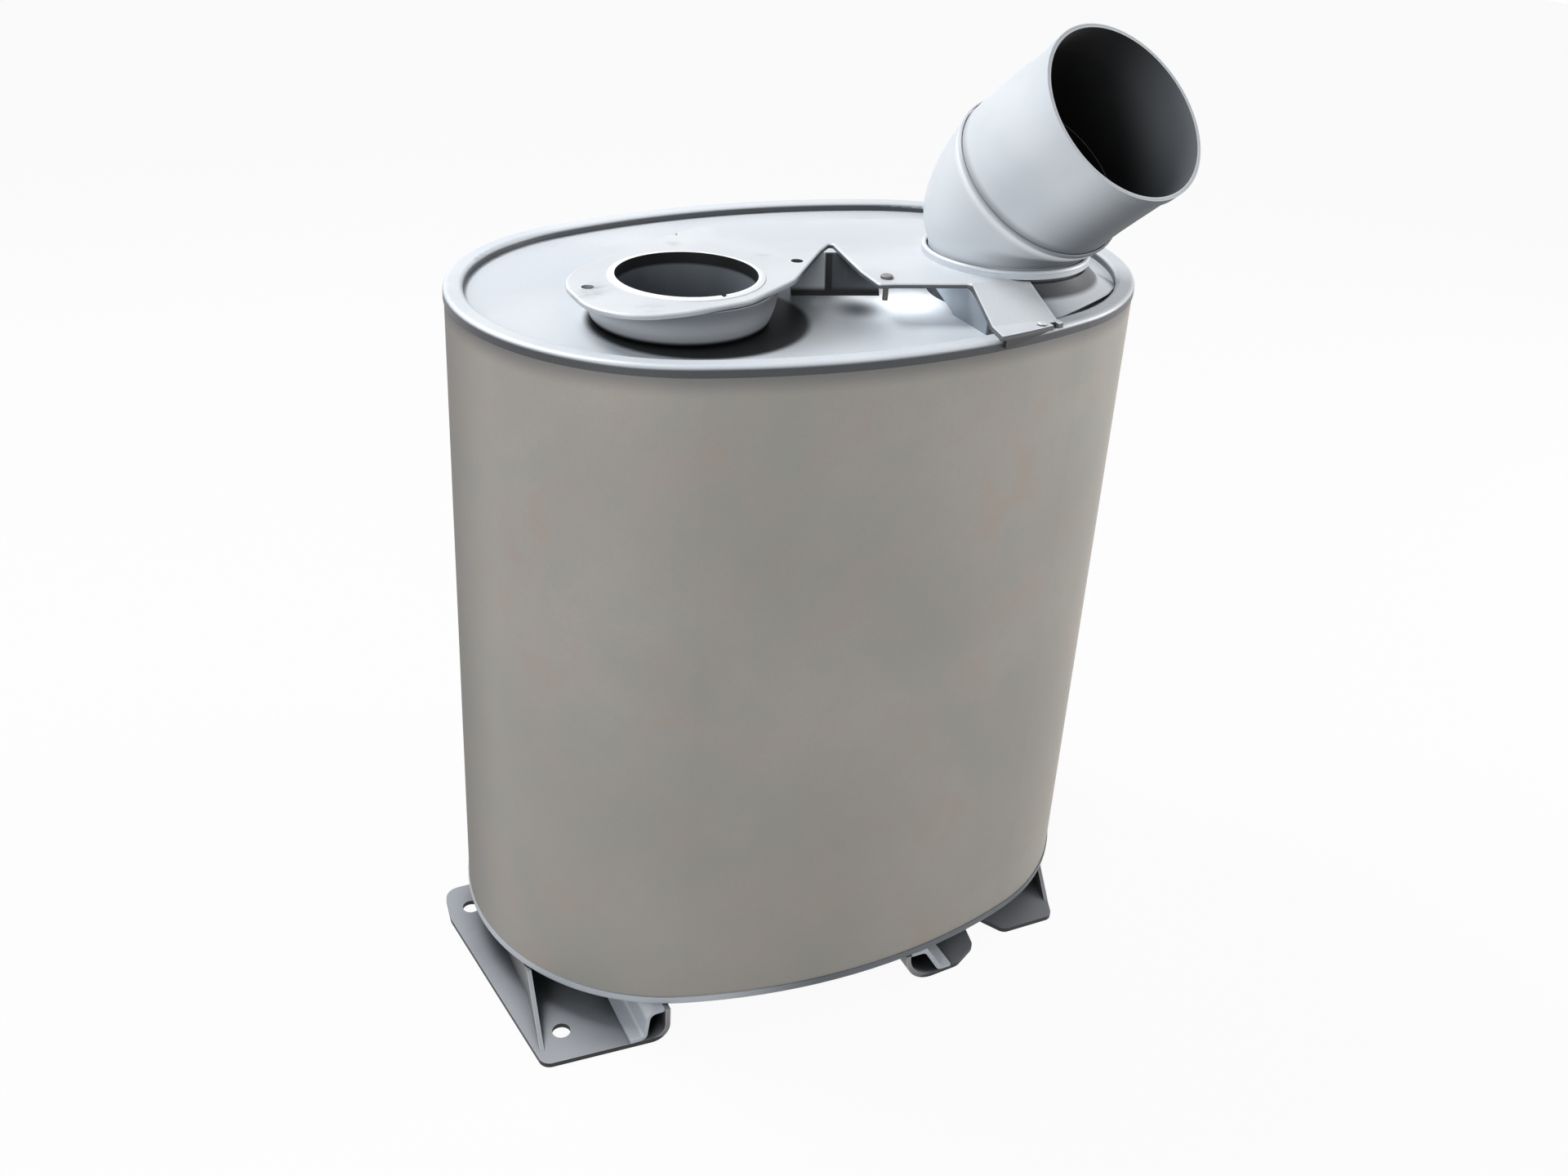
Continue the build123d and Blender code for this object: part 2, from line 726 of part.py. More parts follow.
# Screw through the top plate, with its nut under the plate
with BuildPart() as plate_screw:
    with BuildSketch(Plane.XY.offset(plate_top)):
        with Locations((screw_x, screw_y)):
            Circle(screw_head_radius)
    extrude(amount=screw_head_height)
    fillet(plate_screw.faces().sort_by(Axis.Z)[-1].edges(), screw_head_height / 2)
    with BuildSketch(Plane.XY.offset(plate_top)):
        with Locations((screw_x, screw_y)):
            Circle(screw_radius)
    extrude(amount=-screw_length)
save(plate_screw.part, "plate_screw")

with BuildPart() as screw_nut:
    with BuildSketch(Plane.XY.offset(plate_under)):
        with Locations((screw_x, screw_y)):
            RegularPolygon(nut_across_flats / 2, 6, major_radius=False)
            Circle(screw_radius + fit_gap / 2, mode=Mode.SUBTRACT)
    extrude(amount=-nut_height)
save(screw_nut.part, "screw_nut")

# Rivet that holds the flap's lip on the rim
with BuildPart() as flap_rivet:
    with BuildSketch(Plane.XY.offset(body_top + sheet)):
        with Locations((rivet_x, rivet_y)):
            Circle(rivet_radius)
    extrude(amount=rivet_height)
    fillet(flap_rivet.faces().sort_by(Axis.Z)[-1].edges(), rivet_height * 0.7)
save(flap_rivet.part, "flap_rivet")


def foot_floor_and_leg(leg_x, towards, rounding, far_x, front_y, rear_y):
    """A bent sheet: an upright inner leg that turns into the floor, along the whole foot."""
    with BuildPart() as bent:
        with BuildSketch(Plane.XZ.offset(-rear_y)):
            with BuildLine():
                outside = FilletPolyline(
                    (leg_x, body_bottom), (leg_x, 0), (far_x, 0), radius=rounding
                )
                face_x = leg_x + towards * foot_sheet
                inside = FilletPolyline(
                    (face_x, body_bottom),
                    (face_x, foot_sheet),
                    (far_x, foot_sheet),
                    radius=rounding - foot_sheet,
                )
                Line(outside @ 0, inside @ 0)
                Line(outside @ 1, inside @ 1)
            make_face()
        extrude(amount=rear_y - front_y)
    return bent.part


def foot_side_wall(plan_points, front_low, front_high, rear_high, rear_low):
    """An upright side wall on the floor; its ends slope up to the rim of the body."""
    with BuildPart() as wall:
        with BuildSketch(Plane.XY.offset(foot_sheet / 2)):
            with BuildLine():
                Polyline(*plan_points, close=True)
            make_face()
        extrude(amount=body_bottom - foot_sheet / 2)
        with BuildSketch(Plane.YZ.offset(-body_half_length - 2 * foot_wall)):
            with BuildLine():
                Polyline(
                    (front_low, 0),
                    (front_low, foot_sheet),
                    (front_high, body_bottom),
                    (rear_high, body_bottom),
                    (rear_low, foot_sheet),
                    (rear_low, 0),
                    close=True,
                )
            make_face()
        extrude(amount=2 * body_half_length + 4 * foot_wall, mode=Mode.INTERSECT)
    return wall.part


# Left foot: floor with a rounded front corner and a rear ear
with BuildPart() as left_foot:
    left_end = -body_half_length
    add(foot_floor_and_leg(left_leg_x, -1, left_leg_rounding, left_end - foot_margin, front_y, left_foot_rear))
    with BuildSketch():
        with BuildLine():
            FilletPolyline(
                *places(left_foot_front, left_end, front_y),
                *places(left_foot_ear, left_end, left_foot_rear),
                radius=roundings(left_foot_front + left_foot_ear),
                close=True,
            )
        make_face()
    extrude(amount=body_bottom, mode=Mode.INTERSECT)
    outer_line = places(left_wall_front, left_end, front_y) + places([left_wall_rear], left_end, left_foot_rear)
    inner_line = [(x + foot_wall, y) for x, y in reversed(outer_line)]
    front_end, bend, rear_end = [y for _, y in outer_line]
    add(foot_side_wall(outer_line + inner_line, front_end, bend, rear_end, rear_end))
    left_holes = places([left_front_hole], left_end, front_y) + places([left_rear_hole], left_end, left_foot_rear)
    with Locations(*[(x, y, foot_sheet) for x, y in left_holes]):
        Hole(foot_hole_radius, depth=2 * foot_sheet)
save(left_foot.part, "left_foot")

# Right foot: wider curved leg, a notch in its front edge and a sloped outer wall
with BuildPart() as right_foot:
    right_end = body_half_length
    add(foot_floor_and_leg(right_leg_x, 1, right_leg_rounding, right_end, front_y - foot_margin, right_foot_rear))
    with BuildSketch():
        with BuildLine():
            FilletPolyline(
                *places(right_foot_front, right_end, front_y),
                *places(right_foot_back, right_end, right_foot_rear),
                radius=roundings(right_foot_front + right_foot_back),
                close=True,
            )
        make_face()
    extrude(amount=body_bottom, mode=Mode.INTERSECT)
    outer_line = places(right_wall_front, right_end, front_y) + places([right_wall_rear], right_end, right_foot_rear)
    inner_line = [(x - foot_wall, y) for x, y in reversed(outer_line)]
    front_end, bend, _, rear_end = [y for _, y in outer_line]
    add(foot_side_wall(outer_line + inner_line, front_end + foot_wall, bend, rear_end, rear_end))
    right_holes = places([right_front_hole], right_end, front_y) + places([right_rear_hole], right_end, right_foot_rear)
    with Locations(*[(x, y, foot_sheet) for x, y in right_holes]):
        Hole(foot_hole_radius, depth=2 * foot_sheet)
save(right_foot.part, "right_foot")


def leg_brace(points, roundings, front_y):
    """A curved strip between a leg's upper edge and the floor, seen in the leg's open end."""
    with BuildPart() as brace:
        with BuildSketch(Plane.XZ.offset(-front_y - brace_length)):
            with BuildLine():
                middle = FilletPolyline(*points, radius=roundings)
            trace(middle, line_width=brace_sheet)
        extrude(amount=brace_length)
    return brace.part


# Leg braces: curved strips inside the legs at their front ends
brace_low = foot_sheet + brace_sheet / 2
brace_high = body_bottom - brace_sheet / 2
left_brace_line = [
    (left_leg_x - 32, brace_low),
    (left_leg_x - 20, brace_low),
    (left_leg_x - 17, brace_high),
    (left_leg_x - foot_sheet - fit_gap, brace_high),
]
save(leg_brace(left_brace_line, [4, 7], front_y + left_brace_inset), "left_foot_brace")
right_brace_line = [
    (right_leg_x + 6, brace_high),
    (right_leg_x + 20, brace_high),
    (right_leg_x + 34, brace_low),
    (right_leg_x + 45, brace_low),
]
save(leg_brace(right_brace_line, [8, 5], front_y + right_brace_inset), "right_foot_brace")
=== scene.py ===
import bpy
import bmesh
from math import cos, radians, sin
from mathutils import Matrix, Vector

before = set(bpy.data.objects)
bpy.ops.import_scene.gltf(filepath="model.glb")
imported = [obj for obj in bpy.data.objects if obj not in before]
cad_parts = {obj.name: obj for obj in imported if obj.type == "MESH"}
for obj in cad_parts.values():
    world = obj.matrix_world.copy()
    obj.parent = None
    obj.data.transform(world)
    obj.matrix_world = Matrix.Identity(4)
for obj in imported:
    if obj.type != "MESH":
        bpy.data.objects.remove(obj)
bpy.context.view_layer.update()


def box_corners(name):
    """The corners of a CAD node's box, in metres."""
    return [Vector(corner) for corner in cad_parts[name].bound_box]


def middle_of(name):
    """The middle of a CAD node's box."""
    corners = box_corners(name)
    return sum(corners, Vector()) / len(corners)


def top_of(name):
    """The highest level of a CAD node."""
    return max(corner.z for corner in box_corners(name))


def bottom_of(name):
    """The lowest level of a CAD node."""
    return min(corner.z for corner in box_corners(name))


# Camera of the photograph, found from the oval rims: a slight turn to the left and a high view
PHOTO_WIDTH = 1920
VIEW_TURN = radians(-25.27)
VIEW_HEIGHT = radians(25.38)
VIEW_ROLL = radians(2.49)
VIEW_DISTANCE = 1.2555
VIEW_SIDE = -0.0377
VIEW_RISE = 0.0853
VIEW_FOCUS_PIXELS = 1869.3
VIEW_SHIFT_PIXELS = (60, -140)
SENSOR_WIDTH = 36
NEAREST_SEEN = 0.01

# Levels and places on the object that the finishes follow, in metres
BODY_MIDDLE = middle_of("inner_liner")
SHELL_FOOT = bottom_of("bottom_end_plate")
SHELL_TOP = top_of("outer_shell")
RECESS_LEVEL = bottom_of("inlet_cup")
RIM_TOP = top_of("top_end_plate")
PLATE_UNDERSIDE = top_of("inlet_cup")
PLATE_TOP = top_of("top_plate")
FOOT_SHEET = bottom_of("left_foot_brace")
INLET_SPOT = middle_of("inlet_pipe")
OUTLET_SPOT = middle_of("outlet_tube")
ELBOW_FOOT_SPOT = Vector((OUTLET_SPOT.x, OUTLET_SPOT.y, PLATE_TOP))
SEAM_SPOT = middle_of("elbow_seam_bead")
MOUTH_SPOT = middle_of("mouth_ring")
# Right inner wall of the mouth, where painted light stands for light falling in, and the gap in
# front of the gusset
PAINTED_LIGHT_MOUTH_SPOT = (0.205, -0.172, 0.690)
GAP_SPOT = (0.062, -0.076)

# The elbow bends in one upright plane; its leans count from upright
ELBOW_HEADING = radians(-77)
LOWER_ELBOW_LEAN = radians(21)
SEAM_LEAN = radians(42)
MOUTH_LEAN = radians(49)

# Where finishes change from left to right, in metres from the object's middle
# Where the bottom rim's painted light ends and where its painted shade is full
PAINTED_LIGHT_RIM_END, PAINTED_SHADE_RIM_START = -0.13, -0.03
# Between these places the top plate's cut edges change from painted light to painted shade
PAINTED_LIGHT_EDGE_END, PAINTED_SHADE_EDGE_START = -0.045, -0.025
# Where the right foot's painted shade begins and where it is full
RIGHT_FOOT_START, RIGHT_FOOT_DARK = 0.05, 0.07
# Both sides of the web's painted black shadow at its fold, across the view
WEB_FOLD_LEFT, WEB_FOLD_RIGHT = 0.0179, 0.0232
# How far the black shade under the outlet's bead reaches from the outlet's axis
BEAD_SHADE_REACH = 0.0685
# Levels between which the seam's painted shade grows towards its low side
SEAM_SHADE_TOP, SEAM_SHADE_LOW = 0.70, 0.63

# Directions in which some faces look
UPRIGHT = (0, 0, 1)
# The shell's painted shade faces left back, its painted sheen the right end, and the elbow's
# painted shade its lower right
LEFT_BACK = (-0.85, 0.53, 0)
RIGHT_END = (0.96, -0.28, 0)
ELBOW_LEE = (0.72, -0.34, -0.60)

# Painted shadows on the end plate: spot, radius, softness and strength
PAINTED_PLATE_SHADOWS = [
    ((-0.108, -0.061), 0.0775, 0.007, 0.98),
    ((-0.070, -0.070), 0.070, 0.060, 0.50),
    ((0.009, -0.077), 0.014, 0.026, 0.65),
    ((-0.020, -0.080), 0.050, 0.090, 0.25),
]
# Smudges on the top plate: spot, radius and strength
PLATE_SMUDGES = [
    ((-0.181, -0.057), 0.012, 0.55),
    ((-0.192, -0.066), 0.010, 0.40),
    ((-0.160, -0.105), 0.010, 0.30),
    ((-0.044, -0.026), 0.008, 0.50),
    ((-0.093, 0.022), 0.005, 0.50),
]

# The studio, in metres
FLOOR_REACH = 6.0
FLOOR_WHITE_SHARE = 0.94
WORLD_STRENGTH = 0.26
WORLD_TINT = (0.93, 0.96, 1.0, 1)
WARM_LIGHT = (1.0, 0.97, 0.93)
WHITE = (1, 1, 1, 1)


def shade(red, green, blue):
    """A linear colour from the 0 to 255 values of a colour picker."""
    linear = []
    for value in (red, green, blue):
        share = value / 255
        linear.append(share / 12.92 if share <= 0.04045 else ((share + 0.055) / 1.055) ** 2.4)
    return (*linear, 1.0)


def elbow_axis(lean):
    """Direction of the elbow's axis where it leans that far from upright."""
    return Vector((
        cos(ELBOW_HEADING) * sin(lean),
        sin(ELBOW_HEADING) * sin(lean),
        cos(lean),
    ))


def place_camera():
    """Stands the camera where the photograph was taken from."""
    back = Vector((
        sin(VIEW_TURN) * cos(VIEW_HEIGHT),
        -cos(VIEW_TURN) * cos(VIEW_HEIGHT),
        sin(VIEW_HEIGHT),
    ))
    level_right = Vector((cos(VIEW_TURN), sin(VIEW_TURN), 0))
    level_up = back.cross(level_right)
    right = level_right * cos(VIEW_ROLL) + level_up * sin(VIEW_ROLL)
    up = level_up * cos(VIEW_ROLL) - level_right * sin(VIEW_ROLL)
    spot = BODY_MIDDLE + back * VIEW_DISTANCE + right * VIEW_SIDE + up * VIEW_RISE
    camera = bpy.data.objects.new("photo_camera", bpy.data.cameras.new("photo_camera"))
    bpy.context.scene.collection.objects.link(camera)
    turned = Matrix((right, up, back)).transposed()
    camera.matrix_world = Matrix.Translation(spot) @ turned.to_4x4()
    camera.data.sensor_width = SENSOR_WIDTH
    camera.data.lens = VIEW_FOCUS_PIXELS / PHOTO_WIDTH * SENSOR_WIDTH
    camera.data.shift_x = VIEW_SHIFT_PIXELS[0] / PHOTO_WIDTH
    camera.data.shift_y = VIEW_SHIFT_PIXELS[1] / PHOTO_WIDTH
    camera.data.clip_start = NEAREST_SEEN
    bpy.context.scene.camera = camera


class Signal:
    """One value in a node tree; arithmetic on it adds Math nodes."""

    def __init__(self, tree, socket):
        self.tree = tree
        self.socket = socket

    def work(self, operation, *values):
        node = self.tree.nodes.new("ShaderNodeMath")
        node.operation = operation
        for entry, value in zip(node.inputs, values):
            if isinstance(value, Signal):
                self.tree.links.new(value.socket, entry)
            else:
                entry.default_value = value
        return Signal(self.tree, node.outputs[0])

    def __add__(self, other):
        return self.work("ADD", self, other)

    def __radd__(self, other):
        return self.work("ADD", other, self)

    def __sub__(self, other):
        return self.work("SUBTRACT", self, other)

    def __rsub__(self, other):
        return self.work("SUBTRACT", other, self)

    def __mul__(self, other):
        return self.work("MULTIPLY", self, other)

    def __rmul__(self, other):
        return self.work("MULTIPLY", other, self)

    def size(self):
        return self.work("ABSOLUTE", self)

    def most(self, other):
        return self.work("MAXIMUM", self, other)


class Nodes:
    """A node tree to which nodes are added one by one."""

    def __init__(self, tree):
        self.tree = tree

    def add(self, kind, settings=None, inputs=None, output=0):
        """Any node: its settings first, then the values or links of its sockets."""
        node = self.tree.nodes.new(kind)
        for name, value in (settings or {}).items():
            if name == "stops":
                set_stops(node.color_ramp, value)
            else:
                setattr(node, name, value)
        for name, value in (inputs or {}).items():
            if isinstance(value, Signal):
                self.tree.links.new(value.socket, node.inputs[name])
            else:
                node.inputs[name].default_value = value
        return Signal(self.tree, node.outputs[output])

    def white_rays(self):
        """1 for rays that see white surroundings: from the camera, a mirror or glass."""
        rays = self.add("ShaderNodeLightPath", output="Is Camera Ray")
        for kind in ("Is Glossy Ray", "Is Transmission Ray"):
            rays = rays.most(self.add("ShaderNodeLightPath", output=kind))
        return rays

    def surface(self, end, share, first, second):
        """Mixes two shaders and shows the result."""
        mixed = self.add("ShaderNodeMixShader", inputs={0: share, 1: first, 2: second})
        self.tree.links.new(mixed.socket, self.tree.nodes[end].inputs["Surface"])


class Finish(Nodes):
    """A surface finish: one Principled shader and the nodes that feed it."""

    def __init__(self, name, roughness=0.5, metallic=0.0, specular=0.5):
        self.material = bpy.data.materials.new(name)
        self.material.use_nodes = True
        super().__init__(self.material.node_tree)
        self.shader = self.tree.nodes["Principled BSDF"]
        self.feed("Roughness", roughness)
        self.feed("Metallic", metallic)
        self.feed("Specular IOR Level", specular)
        self.place = self.add("ShaderNodeTexCoord", output="Object")
        self.facing = self.add("ShaderNodeNewGeometry", output="Normal")

    def feed(self, entry, value):
        if isinstance(value, Signal):
            self.tree.links.new(value.socket, self.shader.inputs[entry])
        else:
            self.shader.inputs[entry].default_value = value

    def axes(self):
        """The three object coordinates, in metres."""
        split = self.add("ShaderNodeSeparateXYZ", inputs={"Vector": self.place}).socket.node
        return [Signal(self.tree, socket) for socket in split.outputs]

    def vectors(self, operation, first, second, output="Value"):
        """Vector arithmetic; its result is a number unless the output is Vector."""
        return self.add(
            "ShaderNodeVectorMath",
            {"operation": operation},
            {0: first, 1: second},
            output,
        )

    def noise(self, scale, detail, roughness, distortion=0.0, stretch=(1, 1, 1), shift=(0, 0, 0)):
        """Cloudy noise from 0 to 1 over the object coordinates."""
        spread = self.add(
            "ShaderNodeMapping",
            inputs={"Vector": self.place, "Scale": stretch, "Location": shift},
        )
        return self.add(
            "ShaderNodeTexNoise",
            inputs={
                "Vector": spread,
                "Scale": scale,
                "Detail": detail,
                "Roughness": roughness,
                "Distortion": distortion,
            },
        )

    def band(self, value, start, end):
        """0 at the start, 1 at the end and a soft step between; the start may be the higher one."""
        return self.add(
            "ShaderNodeMapRange",
            {"interpolation_type": "SMOOTHSTEP", "clamp": True},
            {"Value": value, "From Min": start, "From Max": end, "To Min": 0.0, "To Max": 1.0},
        )

    def below(self, value, limit, soft):
        """1 below a limit, fading to 0 over a soft edge."""
        return 1 - self.band(value, limit - soft / 2, limit + soft / 2)

    def ramp(self, value, stops):
        return self.add("ShaderNodeValToRGB", {"stops": stops}, {"Fac": value})

    def blend(self, share, first, second):
        """Mixes two colours."""
        return self.add(
            "ShaderNodeMix",
            {"data_type": "RGBA", "blend_type": "MIX", "clamp_factor": True},
            {0: share, 6: first, 7: second},
            output=2,
        )

    def wash(self, color, *layers):
        """Lays tones over a colour one by one; a layer is its mask and its tone."""
        for mask, tone in layers:
            color = self.blend(mask, color, tone)
        return color

    def bump(self, height, strength, distance):
        normal = self.add(
            "ShaderNodeBump",
            inputs={"Height": height, "Strength": strength, "Distance": distance},
        )
        self.feed("Normal", normal)


def set_stops(ramp, stops):
    """Sets a colour ramp's stops from (position, colour) pairs."""
    while len(ramp.elements) > 1:
        ramp.elements.remove(ramp.elements[-1])
    ramp.elements[0].position, ramp.elements[0].color = stops[0]
    for position, color in stops[1:]:
        ramp.elements.new(position).color = color


def reach_from(finish, x, y):
    """Level distance from an upright axis, in metres."""
    level = finish.vectors("MULTIPLY", finish.place, (1, 1, 0), "Vector")
    return finish.vectors("DISTANCE", level, (x, y, 0))


def past_seam(finish):
    """Distance past the plane of the elbow's seam, towards the mouth, in metres."""
    away = finish.vectors("SUBTRACT", finish.place, SEAM_SPOT, "Vector")
    return finish.vectors("DOT_PRODUCT", away, elbow_axis(SEAM_LEAN))


def edge_mask(finish, radius):
    """1 along the edges of a piece, fading out over a radius."""
    rounded = finish.add("ShaderNodeBevel", {"samples": 8}, {"Radius": radius})
    return 1 - finish.band(finish.vectors("DOT_PRODUCT", rounded, finish.facing), 0.80, 0.985)


def upward(finish):
    """How far a face looks up or down: 1 flat, 0 upright."""
    return finish.add(
        "ShaderNodeSeparateXYZ",
        inputs={"Vector": finish.facing},
        output="Z",
    ).size()


def facing_share(finish, direction, low, high):
    """1 on faces that look along a direction, 0 on those that look away from it."""
    return finish.band(finish.vectors("DOT_PRODUCT", finish.facing, direction), low, high)


def inside_mask(finish, spot, axis):
    """1 on faces that look towards a tube's axis, given by a point and a direction."""
    away = finish.vectors("SUBTRACT", finish.place, spot, "Vector")
    along = finish.vectors("DOT_PRODUCT", away, axis)
    lean = finish.vectors("DOT_PRODUCT", finish.facing, axis)
    outward = finish.vectors("DOT_PRODUCT", finish.facing, away) - along * lean
    return 1 - finish.band(outward, -0.03, -0.015)


def painted_crevice_shade(finish, color, reach, open_share, soot_and_shade=shade(20, 22, 24)):
    """Darkens a colour in corners and under ledges as painted shade."""
    shelter = finish.add(
        "ShaderNodeAmbientOcclusion",
        {"samples": 12},
        {"Distance": reach},
        output="AO",
    )
    return finish.blend(1 - finish.band(shelter, 0.1, open_share), color, soot_and_shade)


def sheet_color(finish, light, dark, cut_edge, edge_radius=0.002):
    """Cloudy pale sheet: painted shade on upright cut edges, a painted highlight along its rounded
    edges.
    """
    smudges = finish.noise(9.0, 3.0, 0.5, 0.4)
    grain = finish.noise(600.0, 2.0, 0.5)
    flat = upward(finish)
    upright = 1 - finish.band(flat, 0.1, 0.75)
    painted_edge_highlight = edge_mask(finish, edge_radius) * finish.band(flat, 0.3, 0.6)
    finish.feed("Roughness", 0.38 + smudges * 0.08)
    finish.bump(grain, strength=0.05, distance=0.0002)
    # Painted shade on upright cut edges and a painted highlight along rounded edges
    return finish.wash(
        finish.blend(finish.band(smudges, 0.35, 0.7), dark, light),
        (upright, cut_edge),
        (painted_edge_highlight * 0.7, shade(246, 248, 250)),
        (finish.band(grain, 0.4, 0.7) * 0.05, shade(120, 124, 130)),
    )


def bright_sheet(name, light, dark, cut_edge, reach, open_share):
    """Smooth bluish pressed sheet with its own cut edges and painted shade in its corners."""
    finish = Finish(name, metallic=0.15)
    color = sheet_color(finish, light, dark, cut_edge)
    finish.feed("Base Color", painted_crevice_shade(finish, color, reach, open_share))
    return finish.material


def aluminised_shell():
    """Matt warm grey wrapped sheet with faint patches, painted shade under its rim and on its left
    back, and a painted sheen at its right end.
    """
    finish = Finish("aluminised_shell", metallic=0.12, specular=0.35)
    clouds = finish.noise(7.0, 3.0, 0.5, 0.3)
    patches = finish.noise(24.0, 4.0, 0.55, 0.6, shift=(3.1, 0.4, 1.7))
    grain = finish.noise(420.0, 3.0, 0.6)
    warm_patches = finish.band(patches, 0.50, 0.72)
    green_patches = finish.band(patches, 0.50, 0.30)
    dust = finish.band(grain, 0.35, 0.65)
    height = finish.axes()[2]
    lower_half = 1 - finish.band(height, SHELL_FOOT, SHELL_TOP - 0.1)
    # Masks for the painted shadow under the rim, the painted shade on the left back and the painted
    # warm sheen at the right end
    painted_rim_shadow = finish.band(height, SHELL_TOP - 0.015, SHELL_TOP)
    painted_left_back_shade = facing_share(finish, LEFT_BACK, 0.6, 1.0)
    painted_right_end_sheen = facing_share(finish, RIGHT_END, 0.80, 1.0)
    color = finish.ramp(clouds, [
        (0.30, shade(151, 148, 142)),
        (0.50, shade(157, 153, 147)),
        (0.70, shade(163, 158, 152)),
    ])
    color = finish.wash(
        color,
        (warm_patches * 0.32, shade(166, 148, 134)),
        (green_patches * 0.30, shade(144, 150, 143)),
        (dust * 0.10, shade(136, 134, 130)),
        (lower_half * 0.25, shade(140, 136, 128)),
        (painted_rim_shadow * 0.6, shade(88, 89, 91)),
        (painted_left_back_shade * 0.75, shade(108, 106, 104)),
        (painted_right_end_sheen * 0.55, shade(190, 176, 162)),
    )
    finish.feed("Base Color", color)
    finish.feed("Roughness", 0.5 + clouds * 0.1 + painted_left_back_shade * 0.35)
    finish.bump(grain * 0.6 + patches * 0.4, strength=0.10, distance=0.0004)
    return finish.material


def end_plate_sheet():
    """Pale recessed plate whose upright rim faces are painted slate as shade; painted black shadows
    lie round the cup's foot and before the web, with painted shade in its corners.
    """
    finish = Finish("rolled_end_plate")
    slate = shade(66, 69, 73)
    color = sheet_color(finish, shade(216, 221, 226), shade(206, 212, 219), slate, 0.003)
    height = finish.axes()[2]
    on_plate = finish.band(height, RECESS_LEVEL + 0.0015, RECESS_LEVEL + 0.0005)
    # Painted black shadows round the cup's foot and before the web, fully metallic there so that
    # they reflect no white
    outside_painted_shadows = 1
    for (x, y), radius, soft, strength in PAINTED_PLATE_SHADOWS:
        near = finish.below(reach_from(finish, x, y), radius, soft)
        outside_painted_shadows = (1 - near * on_plate * strength) * outside_painted_shadows
    color = finish.blend(outside_painted_shadows, shade(12, 13, 15), color)
    finish.feed("Base Color", painted_crevice_shade(finish, color, reach=0.012, open_share=0.5))
    finish.feed("Metallic", 1 - outside_painted_shadows * 0.85)
    return finish.material


def bottom_plate_sheet():
    """The bottom rim: pale with painted light at its left end and slate with painted shade towards
    the right.
    """
    finish = Finish("bottom_end_plate", metallic=0.15, specular=0.4)
    clouds = finish.noise(18.0, 3.0, 0.5)
    # Painted light at the left end, fading into painted shade towards the right
    pale = finish.blend(clouds, shade(168, 173, 179), shade(184, 188, 194))
    slate = finish.blend(clouds, shade(84, 88, 93), shade(104, 108, 113))
    to_right = finish.band(finish.axes()[0], PAINTED_LIGHT_RIM_END, PAINTED_SHADE_RIM_START)
    finish.feed("Base Color", finish.blend(to_right, pale, slate))
    finish.feed("Roughness", 0.4 + clouds * 0.1)
    return finish.material


def top_plate_sheet():
    """Near white stamped plate; smudges round its holes, painted light on its cut edges left of the
    inlet and painted shade right of it, painted shade below on its lip and in its corners.
    """
    finish = Finish("pressed_plate", metallic=0.15)
    x, _, height = finish.axes()
    # Cut edges: painted light left of the inlet, painted shade right of it
    right_of_inlet = finish.band(x, PAINTED_LIGHT_EDGE_END, PAINTED_SHADE_EDGE_START)
    cut_edge = finish.blend(right_of_inlet, shade(176, 180, 186), shade(84, 87, 92))
    color = sheet_color(finish, shade(222, 226, 230), shade(210, 214, 220), cut_edge, 0.0045)
    dirt = finish.noise(90.0, 3.0, 0.6)
    streaks = finish.noise(60.0, 4.0, 0.65, 1.2, (0.35, 1.0, 1.0))
    streaked = finish.band(streaks, 0.35, 0.6)
    for (x, y), radius, strength in PLATE_SMUDGES:
        ragged = reach_from(finish, x, y) + dirt * 0.012
        near = 1 - finish.band(ragged, radius * 0.3, radius + 0.010)
        color = finish.blend(near * streaked * strength, color, shade(96, 102, 112))
    # Painted shade on the lip's face below the rim's top
    painted_lip_shade = finish.band(height, RIM_TOP + 0.0012, RIM_TOP - 0.0002)
    color = finish.blend(painted_lip_shade * 0.85, color, shade(52, 52, 50))
    finish.feed("Base Color", painted_crevice_shade(finish, color, reach=0.012, open_share=0.5))
    return finish.material


def drawn_skirt():
    """Smooth pale cone in the flap's colour, with a black shade under the bead."""
    finish = Finish("drawn_skirt", metallic=0.1, specular=0.4)
    wall = shade(196, 201, 208)
    color = sheet_color(finish, shade(208, 213, 220), shade(200, 206, 213), wall, 0.001)
    from_outlet = reach_from(finish, OUTLET_SPOT.x, OUTLET_SPOT.y)
    under_bead = finish.below(from_outlet, BEAD_SHADE_REACH, 0.004)
    color = finish.blend(under_bead * 0.9, color, shade(38, 41, 45))
    finish.feed("Base Color", painted_crevice_shade(finish, color, reach=0.008, open_share=0.4))
    return finish.material


def spun_cup():
    """Mid grey bowl: painted shade under the plate, lighter below and a painted black shadow at its
    foot.
    """
    finish = Finish("spun_cup", metallic=0.1, specular=0.4)
    smudges = finish.noise(14.0, 3.0, 0.5, 0.4)
    height = finish.axes()[2]
    # Painted shade under the plate and a painted black shadow at the foot
    under_plate = finish.band(height, RECESS_LEVEL + 0.008, PLATE_UNDERSIDE - 0.001)
    foot = finish.band(height, RECESS_LEVEL + 0.0045, RECESS_LEVEL + 0.0005)
    color = finish.wash(
        finish.blend(smudges, shade(170, 175, 181), shade(186, 190, 196)),
        (under_plate * 0.85, shade(88, 92, 96)),
        (foot, shade(24, 25, 27)),
    )
    finish.feed("Base Color", color)
    finish.feed("Roughness", 0.42 + smudges * 0.1)
    return finish.material


